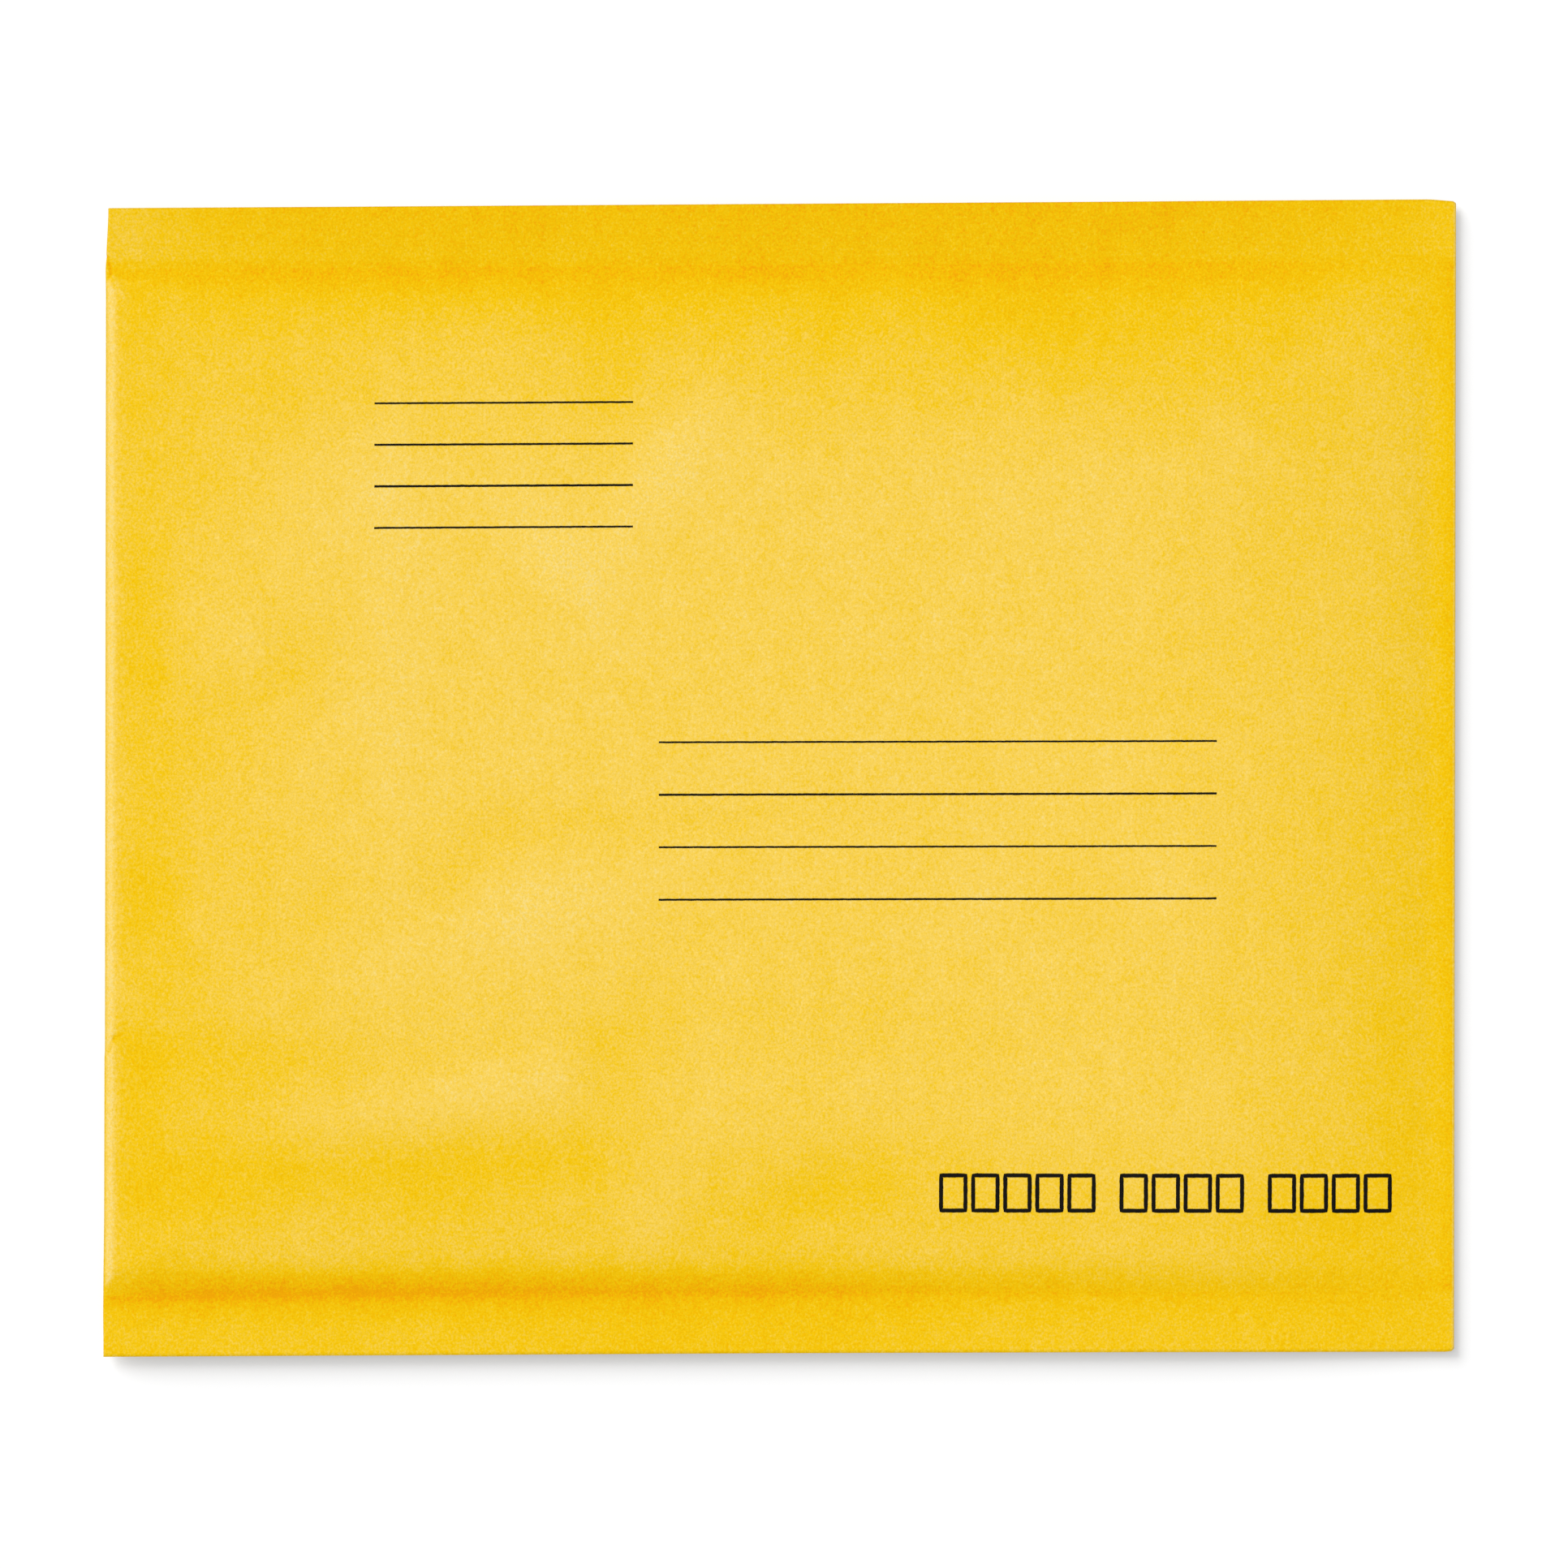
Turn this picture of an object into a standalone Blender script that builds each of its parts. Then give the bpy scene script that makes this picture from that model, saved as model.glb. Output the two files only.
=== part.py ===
"""A padded bubble mailer of kraft paper, sealed and empty, lying with its address side up.

Metres, +Z up. The origin is on the surface that the mailer lies on, under its middle.
+X points to the folded flap and -X to the bottom fold. The welded side seams run along X.
It is one solid: a folded sheet of paper, with bubble film welded into it and the flap stuck to its back.
"""

import math

import bmesh
import bpy

# Driving dimensions

PANEL_LENGTH = 0.2765  # bottom fold to mouth
MOUTH_TO_FLAP_FOLD = 0.0055  # bare paper between the mouth and the fold of the flap
WIDTH = 0.240  # over both side seams
OUT_OF_SQUARE = 0.007  # how far the side seams lean, as a share of their length
SEAM_WIDTH = 0.0126
SEAM_THICKNESS = 0.0008
SEAM_HEIGHT = 0.0022  # middle of a seam above the surface, where the pocket is full
CURL_FAR = 0.0021  # rise of the cut edge at +Y
CURL_NEAR = 0.0006  # rise of the cut edge at -Y

PAD_HEIGHT = 0.0062  # top of the padded pocket above the surface
SIDE_SLOPE = 0.044  # from a seam to where the pocket is level
VALLEY = 0.010  # the steep foot of that slope, beside the seam
VALLEY_SHARE = 0.42  # share of the height gained in the valley
BELLY = 0.018  # from a seam to where the underside touches down
BOTTOM_FOLD_RADIUS = 0.0019
BOTTOM_FOLD_LIFT = 0.0003  # the rolled fold stands this far off the surface
BOTTOM_SLOPE = 0.060  # from the bottom fold to where the pocket is level
MOUTH_SLOPE = 0.058  # from the mouth to where the pocket is level

FLAP_LENGTH = 0.045
FLAP_THICKNESS = 0.0005
FLAP_INSET = 0.0010  # from a cut edge to the flap's side, at its fold
FLAP_TAPER = 0.0050  # how much more that is at the flap's free edge
FLAP_CORNER_RADIUS = 0.006

KRAFT_COLOUR = (0.94, 0.64, 0.09, 1.0)  # linear
KRAFT_ROUGHNESS = 0.85

# Places that follow from them

LENGTH = PANEL_LENGTH + MOUTH_TO_FLAP_FOLD
BOTTOM_FOLD = -LENGTH / 2
FLAP_FOLD = LENGTH / 2
MOUTH = FLAP_FOLD - MOUTH_TO_FLAP_FOLD
FREE_EDGE = FLAP_FOLD - FLAP_LENGTH
SIDE = WIDTH / 2
SEAM_LINE = SIDE - SEAM_WIDTH
FLAP_FOLD_THICKNESS = SEAM_THICKNESS + FLAP_THICKNESS

# The cage that is rounded into the mailer

UNDERSIDE, RIM, FACE = 0, 1, 2  # its three levels
SLOPE_CELLS = 5  # down each side slope and the bottom slope
FLAP_CELLS = 5  # along the flap
LENGTHWISE_CELLS = 4  # along the level pocket
CROSSWISE_CELLS = 2  # from the top of a side slope to the middle
GRADING = 1.6  # over 1, cells are narrower at the foot of a slope
CORNER_PULL = 1 - math.sqrt(0.5)  # how far a rounded corner draws in, as a share of its radius


def steps(start, end, count, grading=1.0):
    """The count places after start, up to end, closer together near start where grading is over 1."""
    return [start + (end - start) * (i / count) ** grading for i in range(1, count + 1)]


def rise(distance, reach):
    """0 at a distance of nothing, climbing to 1 at reach and levelling out there."""
    share = min(max(distance / reach, 0.0), 1.0)
    return share * (2 - share)


def mix(a, b, share):
    return a + (b - a) * share


def seam_height(x, y):
    """Middle of the welded seam at x, with the curl of its cut edge at y."""
    fullness = rise(MOUTH - x, MOUTH_SLOPE)
    outwards = max(abs(y) - SEAM_LINE, 0.0) / SEAM_WIDTH
    curl = CURL_FAR if y > 0 else CURL_NEAR
    at_mouth = FLAP_THICKNESS + SEAM_THICKNESS / 2
    return mix(at_mouth, SEAM_HEIGHT, fullness) + curl * outwards * fullness


def face_height(x, y):
    """The address side: seam, valley, side slope and level pocket, with a slope at each end."""
    seam = seam_height(x, y) + SEAM_THICKNESS / 2
    inwards = SEAM_LINE - abs(y)
    if inwards <= 0:
        return seam
    across = mix(rise(inwards, SIDE_SLOPE), rise(inwards, VALLEY), VALLEY_SHARE)
    from_side = mix(seam, PAD_HEIGHT, across * rise(MOUTH - x, MOUTH_SLOPE))
    fold_top = BOTTOM_FOLD_LIFT + 2 * BOTTOM_FOLD_RADIUS
    from_bottom = mix(fold_top, PAD_HEIGHT, rise(x - BOTTOM_FOLD, BOTTOM_SLOPE))
    return min(from_side, from_bottom)


def underside_height(x, y):
    """The back: level where it rests, lifted at the seams, at the bottom fold and onto the flap."""
    inwards = SEAM_LINE - abs(y)
    resting = mix(BOTTOM_FOLD_LIFT, 0.0, rise(x - BOTTOM_FOLD, BELLY))
    on_flap = FLAP_THICKNESS * rise(x - (FREE_EDGE - BELLY), BELLY)
    seam = seam_height(x, y) - SEAM_THICKNESS / 2
    return mix(max(seam, on_flap), max(resting, on_flap), rise(inwards, BELLY))


def lay_out_columns():
    """Places of the cage's columns along X, from the bottom fold to the flap's fold."""
    columns = [BOTTOM_FOLD, BOTTOM_FOLD + BOTTOM_FOLD_RADIUS]
    columns += steps(columns[-1], BOTTOM_FOLD + BOTTOM_SLOPE, SLOPE_CELLS, GRADING)
    columns += steps(columns[-1], FREE_EDGE - BELLY, LENGTHWISE_CELLS)
    columns += [FREE_EDGE]
    columns += steps(FREE_EDGE, MOUTH, FLAP_CELLS)
    return columns + [FLAP_FOLD - FLAP_FOLD_THICKNESS, FLAP_FOLD]


def lay_out_rows():
    """Places of the cage's rows across Y, from -Y to +Y."""
    outwards = [SIDE, SIDE - SEAM_WIDTH / 2, SEAM_LINE]
    outwards += steps(SEAM_LINE, SEAM_LINE - SIDE_SLOPE, SLOPE_CELLS, GRADING)
    outwards += steps(outwards[-1], 0.0, CROSSWISE_CELLS)
    return [-y for y in outwards] + outwards[-2::-1]


def box_cage(columns, rows):
    """A cube cut into a cell for each step between columns and between rows, two cells high."""
    cage = bmesh.new()
    cage.edges.layers.float.new("crease_edge")
    bmesh.ops.create_cube(cage, size=1.0)
    for axis, cells in enumerate((len(columns) - 1, len(rows) - 1, FACE)):
        along = [e for e in cage.edges if abs(e.verts[1].co[axis] - e.verts[0].co[axis]) > 0.5]
        bmesh.ops.subdivide_edges(cage, edges=along, cuts=cells - 1, use_grid_fill=True)
    return cage


def fold_corner(x, y, level):
    """X and Z of a point on the rolled edge at either end, on three of an octagon's corners."""
    at_bottom = x < 0
    if at_bottom:
        lowest = underside_height(x, y)
        highest = face_height(x, y)
    else:
        lowest = FLAP_THICKNESS
        highest = FLAP_FOLD_THICKNESS
    radius = (highest - lowest) / 2
    middle = lowest + radius
    if level == RIM:
        return x, middle
    inwards = radius * CORNER_PULL * (1 if at_bottom else -1)
    upwards = radius * math.sqrt(0.5) * (1 if level == FACE else -1)
    return x + inwards, middle + upwards


def flap_side(x):
    """Y of the flap's side at x, straight and drawing in towards the free edge."""
    along = (FLAP_FOLD - x) / FLAP_LENGTH
    return SIDE - FLAP_INSET - FLAP_TAPER * along


def shape_cage(cage, columns, rows):
    """Moves each corner of the box onto the mailer."""
    free_column = columns.index(FREE_EDGE)
    seam_middles = (1, len(rows) - 2)
    for vert in cage.verts:
        column = round((vert.co.x + 0.5) * (len(columns) - 1))
        row = round((vert.co.y + 0.5) * (len(rows) - 1))
        level = round((vert.co.z + 0.5) * FACE)
        x, y = columns[column], rows[row]
        on_flap_side = row in seam_middles and column >= free_column and level == UNDERSIDE
        if on_flap_side:
            y = math.copysign(flap_side(x), y)
            if column == free_column:
                x += FLAP_CORNER_RADIUS * CORNER_PULL
                y -= math.copysign(FLAP_CORNER_RADIUS * CORNER_PULL, y)
        if column in (0, len(columns) - 1):
            x, z = fold_corner(x, y, level)
        elif level == RIM:
            z = seam_height(x, y)
        elif level == FACE:
            z = face_height(x, y)
        else:
            z = underside_height(x, y)
        vert.co = (x, y + OUT_OF_SQUARE * x, z)


def crease(cage, edges):
    layer = cage.edges.layers.float["crease_edge"]
    for edge in edges:
        edge[layer] = 1.0


def is_cut_edge(edge):
    """Whether an edge of the cage runs along the cut side of a seam."""
    return all(abs(v.co.y - OUT_OF_SQUARE * v.co.x) > SIDE - FLAP_INSET / 2 for v in edge.verts)


def turns_sharply(edge):
    return edge.calc_face_angle() > math.radians(45)


def lay_flap(cage):
    """Draws the flap's ply down from the back, with a sharp free edge and sharp sides."""
    under_flap = []
    for face in cage.faces:
        middle = face.calc_center_median()
        faces_down = face.normal.z < -math.sqrt(0.5)
        between_sides = abs(middle.y - OUT_OF_SQUARE * middle.x) < flap_side(middle.x)
        if faces_down and middle.x > FREE_EDGE and between_sides:
            under_flap.append(face)
    drawn = bmesh.ops.extrude_face_region(cage, geom=under_flap)["geom"]
    bmesh.ops.delete(cage, geom=under_flap, context="FACES_ONLY")
    corners = {g for g in drawn if isinstance(g, bmesh.types.BMVert)}
    faces = {g for g in drawn if isinstance(g, bmesh.types.BMFace)}
    for vert in corners:
        vert.co.z -= FLAP_THICKNESS
    walls = {wall for face in faces for edge in face.edges for wall in edge.link_faces} - faces
    at_fold = FLAP_FOLD - FLAP_FOLD_THICKNESS / 2
    for wall in walls:
        if min(v.co.x for v in wall.verts) < at_fold:
            crease(cage, [e for e in wall.edges if (e.verts[0] in corners) == (e.verts[1] in corners)])


def kraft_paper():
    material = bpy.data.materials.new("kraft_paper")
    material.use_nodes = True
    shader = material.node_tree.nodes["Principled BSDF"]
    shader.inputs["Base Color"].default_value = KRAFT_COLOUR
    shader.inputs["Roughness"].default_value = KRAFT_ROUGHNESS
    shader.inputs["Metallic"].default_value = 0.0
    return material


def make_mailer(collection):
    columns, rows = lay_out_columns(), lay_out_rows()
    cage = box_cage(columns, rows)
    shape_cage(cage, columns, rows)
    cage.normal_update()
    lay_flap(cage)
    crease(cage, [e for e in cage.edges if is_cut_edge(e) and turns_sharply(e)])
    bmesh.ops.recalc_face_normals(cage, faces=cage.faces)

    mesh = bpy.data.meshes.new("mailer")
    cage.to_mesh(mesh)
    cage.free()
    mesh.materials.append(kraft_paper())
    mesh.shade_smooth()
    mailer = bpy.data.objects.new("mailer", mesh)
    collection.objects.link(mailer)

    rounding = mailer.modifiers.new("Rounding", "SUBSURF")
    rounding.levels = 1
    rounding.render_levels = 1


for left_over in list(bpy.data.objects):
    bpy.data.objects.remove(left_over, do_unlink=True)

parts = bpy.data.collections.new("bubble_mailer")
bpy.context.scene.collection.children.link(parts)
make_mailer(parts)
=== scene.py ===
"""A padded bubble mailer of gold-yellow kraft paper, lying on its back under soft light, seen from above.

Metres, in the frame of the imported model: +X to the folded flap, +Y across, +Z up out of the address side.
"""

import math

import bpy
import numpy as np
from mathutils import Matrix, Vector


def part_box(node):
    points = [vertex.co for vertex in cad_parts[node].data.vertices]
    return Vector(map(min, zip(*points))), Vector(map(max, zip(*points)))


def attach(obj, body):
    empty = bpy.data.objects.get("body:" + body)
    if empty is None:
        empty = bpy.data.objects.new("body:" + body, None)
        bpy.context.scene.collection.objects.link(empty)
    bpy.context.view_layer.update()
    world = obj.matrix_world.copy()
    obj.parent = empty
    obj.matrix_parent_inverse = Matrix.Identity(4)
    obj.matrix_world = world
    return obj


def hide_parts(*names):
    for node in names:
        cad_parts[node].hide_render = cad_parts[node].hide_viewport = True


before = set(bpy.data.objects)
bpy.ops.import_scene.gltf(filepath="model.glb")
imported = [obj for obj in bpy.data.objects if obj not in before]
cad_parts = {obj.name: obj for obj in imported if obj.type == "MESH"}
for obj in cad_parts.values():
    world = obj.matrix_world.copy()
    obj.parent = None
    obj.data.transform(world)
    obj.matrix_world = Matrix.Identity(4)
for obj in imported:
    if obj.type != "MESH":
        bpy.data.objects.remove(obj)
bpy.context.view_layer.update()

# Kraft sheet
# The outer sheet is one web of machine-glazed kraft paper, 0.2 mm thick. It is folded at the bottom, its
# sides are heat-welded, and its tongue is folded at the mouth and glued to the back. Air trapped in the
# film inside puffs the pocket up, and handling leaves it softly billowed.

lowest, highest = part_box("mailer")
BOTTOM_FOLD = lowest[0]
FLAP_FOLD = highest[0]
PAD_HEIGHT = highest[2]
LEAN = 0.007  # of the cut sides, as a share of their length
SIDE = highest[1] - LEAN * FLAP_FOLD
MOUTH = FLAP_FOLD - 0.0055
PAPER = 0.0002
SEAM_WIDTH = 0.0126
SEAM_THICKNESS = 0.0008
SEAM_HEIGHT = 0.0022
SEAM_LINE = SIDE - SEAM_WIDTH
CURL_FAR = 0.0012  # of the cut edge at +Y
CURL_NEAR = 0.0006
CURL_MOUTH = 0.0007  # of the folded end
SIDE_SLOPE = 0.044
VALLEY = 0.010
VALLEY_FAR = 0.12  # share of the pocket's rise that is next to the seam
VALLEY_NEAR = 0.42
VALLEY_ROUNDING = 0.0014  # reach of the soft bend over the seam's line
BELLY = 0.018
FOLD_RADIUS = 0.0019
FOLD_LIFT = 0.0003
BOTTOM_SLOPE = 0.060
MOUTH_SLOPE = 0.058
FLAP_LENGTH = 0.045
FREE_EDGE = FLAP_FOLD - FLAP_LENGTH
FLAP_THICKNESS = 0.0005
FLAP_INSET = 0.0010
FLAP_TAPER = 0.0050
FLAP_CORNER = 0.006
FLAP_BEND = (SEAM_THICKNESS + FLAP_THICKNESS) / 2  # radius of the flap's fold
FLAP_BEND_STEPS = 8
ROLL_STEPS = 20  # round the bottom fold

# Where the film's air can't lift the paper, the billows fade out over these widths
HELD_BY_SEAM = 0.016
HELD_BY_FOLD = 0.006
HELD_BY_MOUTH = 0.012

# Soft billows of the padded face, in mm and degrees: x, y, reach along, reach across, turn, rise
BILLOWS = (
    (-131, -24, 5, 9, 0, -0.26),
    (-133, 31, 4, 16, 0, -0.16),
    (-110, 19, 15, 4.5, 33, -0.14),
    (-134, -61, 5, 7, 0, -0.22),
    (-106, -56, 24, 4, 0, -0.20),
    (-111, -83, 27, 7, 0, -0.32),
    (-70, -85, 7, 9, 0, -0.20),
    (-48, -78, 17, 5, 3, -0.24),
    (-36, -60, 5, 9, 0, -0.24),
    (12, -84.5, 15, 5.5, 22, -0.28),
    (-37, 76, 3.5, 15, -4, -0.12),
    (-39, 99, 5, 6, 0, -0.14),
    (10, 95, 3, 9, -10, -0.12),
    (51, 95, 14, 8, 0, -0.20),
    (128, -60, 8, 18, 0, -0.14),
    (-66, -17, 11, 3.5, 37, -0.18),
    (-27, -8.5, 28, 3.5, 0, -0.14),
    (-95, -24, 7, 3, 35, -0.14),
    (-25, -43, 5, 11, -25, -0.12),
    (114, -95, 16, 5, 0, -0.20),
    (-22.5, 66.5, 5, 16, -33, 0.26),
    (-47, 48, 5, 11, 33, 0.24),
    (-60, 87, 8, 9, 0, 0.14),
    (-82, 40, 5, 32, 0, 0.16),
    (-97, 55, 7, 10, -20, 0.14),
    (-116, 31, 6, 9, 20, 0.16),
    (-100, 4, 13, 5, 30, 0.08),
    (-52, -28, 20, 6, 18, 0.16),
    (-68, -65.5, 19, 3.5, 11, 0.22),
    (-49, -61, 6, 4, 0, 0.14),
    (-96, -94, 16, 6, 0, 0.16),
    (-5, -55, 55, 9, 0, -0.13),
    (-95, -64, 30, 5, 0, -0.10),
    (62, -92, 26, 7, 0, -0.16),
    (79, 88, 20, 10, 0, -0.10),
    (131, 56, 6, 24, 0, 0.24),
    (-23, -83, 6, 14, -30, 0.18),
)

# Sharp little creases, in mm: x and y of each end, half width, depth (below 0 for a ridge)
CREASES = (
    (-140.0, -56.2, -138.9, -53.2, 0.35, 0.26),
    (-138.9, -53.2, -136.6, -52.0, 0.45, 0.12),
    (-138.2, -54.0, -135.9, -53.3, 0.90, 0.06),
    (-140.6, 109.8, -140.0, 107.2, 0.35, 0.24),
    (-139.8, 106.7, -140.5, 105.2, 0.30, 0.20),
    (-139.0, 106.9, -136.8, 105.3, 0.80, 0.08),
    (-139.5, 105.6, -137.0, 101.0, 0.50, -0.13),
    (130.5, 97.5, 137.5, 88.0, 1.00, 0.05),
)


def rise(distance, reach):
    """0 at a distance of nothing, climbing to 1 at reach and levelling out there."""
    share = np.clip(distance / reach, 0, 1)
    return share * (2 - share)


def mix(a, b, share):
    return a + (b - a) * share


def stations(*marks):
    """Places from the first mark to the last, spaced between them as the marks (place, spacing) say."""
    places = np.linspace(marks[0][0], marks[-1][0], 6001)
    per_step = np.diff(places) / np.interp((places[1:] + places[:-1]) / 2, *zip(*marks))
    count = np.concatenate([[0], np.cumsum(per_step)])
    return np.interp(np.linspace(0, count[-1], round(count[-1]) + 1), count, places)


def seam_height(x, y):
    """Middle of the welded seam at x, with the curl of its cut edge at y."""
    fullness = rise(MOUTH - x, MOUTH_SLOPE)
    outwards = np.clip(abs(y) - SEAM_LINE, 0, None) / SEAM_WIDTH
    curl = np.where(y > 0, CURL_FAR, CURL_NEAR)
    return mix(FLAP_THICKNESS + SEAM_THICKNESS / 2, SEAM_HEIGHT, fullness) + curl * outwards * fullness


def face_height(x, y):
    """The address side: seam, valley, side slope and level pocket, with a slope at each end."""
    seam = seam_height(x, y) + SEAM_THICKNESS / 2
    from_line = SEAM_LINE - abs(y)
    inwards = (from_line + np.hypot(from_line, VALLEY_ROUNDING)) / 2
    share = np.where(y > 0, VALLEY_FAR, VALLEY_NEAR)
    across = mix(rise(inwards, SIDE_SLOPE), rise(inwards, VALLEY), share)
    from_side = mix(seam, PAD_HEIGHT, across * rise(MOUTH - x, MOUTH_SLOPE))
    from_bottom = mix(FOLD_LIFT + 2 * FOLD_RADIUS, PAD_HEIGHT, rise(x - BOTTOM_FOLD, BOTTOM_SLOPE))
    return np.minimum(from_side, from_bottom)


def underside_height(x, y):
    """The back: level where it rests, lifted at the seams, at the bottom fold and onto the flap."""
    resting = mix(FOLD_LIFT, 0, rise(x - BOTTOM_FOLD, BELLY))
    on_flap = FLAP_THICKNESS * rise(x - (FREE_EDGE - BELLY), BELLY)
    seam = seam_height(x, y) - SEAM_THICKNESS / 2
    return mix(np.maximum(seam, on_flap), np.maximum(resting, on_flap), rise(SEAM_LINE - abs(y), BELLY))


def billow_height(x, y):
    """Sum of the soft billows, fading out at the seams, at the bottom fold and at the mouth."""
    total = np.zeros_like(x + y)
    for place_x, place_y, along, across, turn, height in BILLOWS:
        cos, sin = math.cos(math.radians(turn)), math.sin(math.radians(turn))
        off_x, off_y = x - place_x / 1000, y - place_y / 1000
        u = (off_x * cos + off_y * sin) / (along / 1000)
        v = (off_y * cos - off_x * sin) / (across / 1000)
        total += height / 1000 * np.exp(-(u * u + v * v) / 2)
    across_held = rise(SEAM_LINE - abs(y), HELD_BY_SEAM)
    return total * across_held * rise(x - BOTTOM_FOLD, HELD_BY_FOLD) * rise(MOUTH - x, HELD_BY_MOUTH)


def crease_depth(x, y):
    """How far the creases press the paper in, each along its own short line."""
    total = np.zeros_like(x + y)
    for x1, y1, x2, y2, half_width, depth in CREASES:
        run_x, run_y = (x2 - x1) / 1000, (y2 - y1) / 1000
        off_x, off_y = x - x1 / 1000, y - y1 / 1000
        length = math.hypot(run_x, run_y)
        along = (off_x * run_x + off_y * run_y) / length
        beyond = np.clip(abs(along - length / 2) - length / 2, 0, None)
        aside = abs(off_y * run_x - off_x * run_y) / length
        total += depth / 1000 * np.exp(-(aside**2 + beyond**2) / (half_width / 1000) ** 2)
    return total


def by_place(x, *marks):
    """A value along a line, going straight between its marks (place in mm, value)."""
    return np.interp(x * 1000, *zip(*marks))


LEVEL_TONE = 0.25  # of the level pocket
BACK_TONE = 0.34
FLAP_TONE = 0.30
BILLOW_TONE = 0.55  # painted light and shade: paler by this for each mm that a billow rises, deeper where it sinks
CREASE_TONE = 1.6  # painted shade: deeper by this for each mm that a crease is pressed in


def face_tone(x, y):
    """How deep the gold is on the address side, from 0, palest, to 1, with painted shade and light."""
    far = y > 0
    inwards = SEAM_LINE - abs(y)
    from_fold, from_mouth = x - BOTTOM_FOLD, MOUTH - x

    # Painted shade on the wide slope down to the far seam
    far_fading = by_place(
        x, (-140, 0.60), (-132, 0.76), (-120, 0.88), (-107, 1.00), (-95, 1.02), (30, 1.02), (55, 1.10),
        (85, 1.06), (96, 0.96), (107, 0.90), (119, 0.74), (130, 0.42))
    far_slope = far_fading * by_place(
        inwards, (0, 0.55), (1.0, 0.545), (1.8, 0.535), (3.8, 0.45), (6.7, 0.345), (11, 0.255), (16.5, 0.19),
        (25, 0.155), (33, 0.08), (44, 0))

    # Painted shade in the narrow, deep valley along the near seam, with a faint, wide painted shade inside it
    near_valley = by_place(
        x, (-140, 0.24), (-132, 0.38), (-122, 0.45), (-112, 0.50), (-85, 0.50), (-60, 0.47), (-30, 0.46),
        (-5, 0.42), (13, 0.41), (26, 0.40), (40, 0.35), (51, 0.33), (64, 0.28), (90, 0.24), (110, 0.20),
        (130, 0.15))
    near_valley *= by_place(inwards, (0, 1.10), (0.9, 1.06), (1.8, 0.86), (3.8, 0.62), (6, 0.18), (8, 0))
    near_shade = by_place(
        x, (-140, 0.12), (-120, 0.22), (0, 0.20), (26, 0.14), (77, 0.11), (100, 0.14), (120, 0.22))
    near_shade *= by_place(inwards, (7, 1.0), (11, 0.8), (16.5, 0.77), (25, 0.7), (33, 0.36), (44, 0))

    # Painted shade on the slopes down to the bottom fold and to the mouth
    bottom = by_place(
        from_fold, (2.6, 0.12), (4, 0.18), (6, 0.20), (9, 0.20), (14, 0.17), (20, 0.14), (41, 0.05), (60, 0))
    mouth = by_place(
        from_mouth, (-5, 0.42), (-1.5, 0.29), (1.5, 0.23), (5, 0.24), (9, 0.22), (13, 0.17), (19, 0.13),
        (25, 0.12), (39, 0.07), (58, 0))
    slopes = np.hypot(np.where(far, far_slope, near_valley + near_shade), bottom + mouth)
    # Level gold, with painted shade on the slopes and painted light and shade on the billows
    pocket = LEVEL_TONE + slopes - BILLOW_TONE * billow_height(x, y) / 0.001

    # The welded strips outside the seams' lines, deepened by painted shade, deepest along the lines where
    # they bend
    far_strip = by_place(
        x, (-141, 0.42), (-132, 0.46), (-120, 0.55), (-107, 0.60), (-95, 0.625), (-60, 0.64), (0, 0.67),
        (60, 0.70), (83, 0.68), (96, 0.63), (122, 0.60), (135, 0.53), (141, 0.53))
    far_strip += by_place(-inwards, (0, 0), (1000 * SEAM_WIDTH, 0.10))
    far_line = by_place(x, (-140, 1.8), (-90, 1.0), (0, 0.5))
    far_line *= by_place(-inwards, (0, 0.10), (0.9, 0.09), (2.0, 0))
    near_strip = by_place(
        x, (-141, 0.56), (-125, 0.53), (-60, 0.53), (-45, 0.57), (-33, 0.63), (-15, 0.62), (15, 0.60),
        (35, 0.55), (60, 0.51), (80, 0.53), (100, 0.56), (120, 0.59), (140, 0.56))
    near_line = by_place(
        x, (-141, 0.26), (-132, 0.44), (-120, 0.56), (-100, 0.50), (-50, 0.45), (-30, 0.32), (20, 0.28),
        (40, 0.25), (60, 0.28), (77, 0.26), (95, 0.19), (120, 0.17), (140, 0.10))
    near_line *= by_place(
        -inwards, (0, 0.90), (0.4, 0.80), (1.4, 0.48), (2.4, 0.34), (4.4, 0.18), (6.5, 0.05), (8, 0))
    painted_strip_shade = np.where(far, far_strip + far_line, near_strip + near_line)

    # A painted highlight along the crown of the bottom fold, with painted shade at its very edge, ending
    # slantwise at the seams
    crown = by_place(
        from_fold, (0, 0.55), (0.35, 0.30), (0.6, 0.16), (1.0, 0.08), (1.6, 0.05), (2.1, 0.14), (2.9, 0.3))
    on_crown = by_place(from_fold, (1.7, 1.0), (2.8, 0))
    on_crown *= by_place(inwards - 1.4 * from_fold, (1.0, 0), (2.2, 1.0))
    tone = mix(np.where(inwards > 0, pocket, painted_strip_shade), crown, on_crown)
    # Painted shade in the creases, painted light on the ridges
    return tone + CREASE_TONE * crease_depth(x, y) / 0.001


# Lines of the mesh along the sheet, closest at the seams and across the creases of the bottom fold
rows = stations(
    (-SIDE, 0.0008), (-SEAM_LINE - 0.002, 0.0012), (-SEAM_LINE, 0.0004), (-SEAM_LINE + 0.005, 0.0005),
    (-SEAM_LINE + 0.012, 0.0018), (-0.064, 0.0024), (-0.059, 0.0004), (-0.052, 0.0004), (-0.047, 0.0024),
    (SEAM_LINE - 0.012, 0.0022), (SEAM_LINE - 0.004, 0.0004), (SEAM_LINE + 0.0025, 0.0004),
    (SEAM_LINE + 0.005, 0.0012), (SIDE, 0.0008),
)[None, :]


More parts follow.
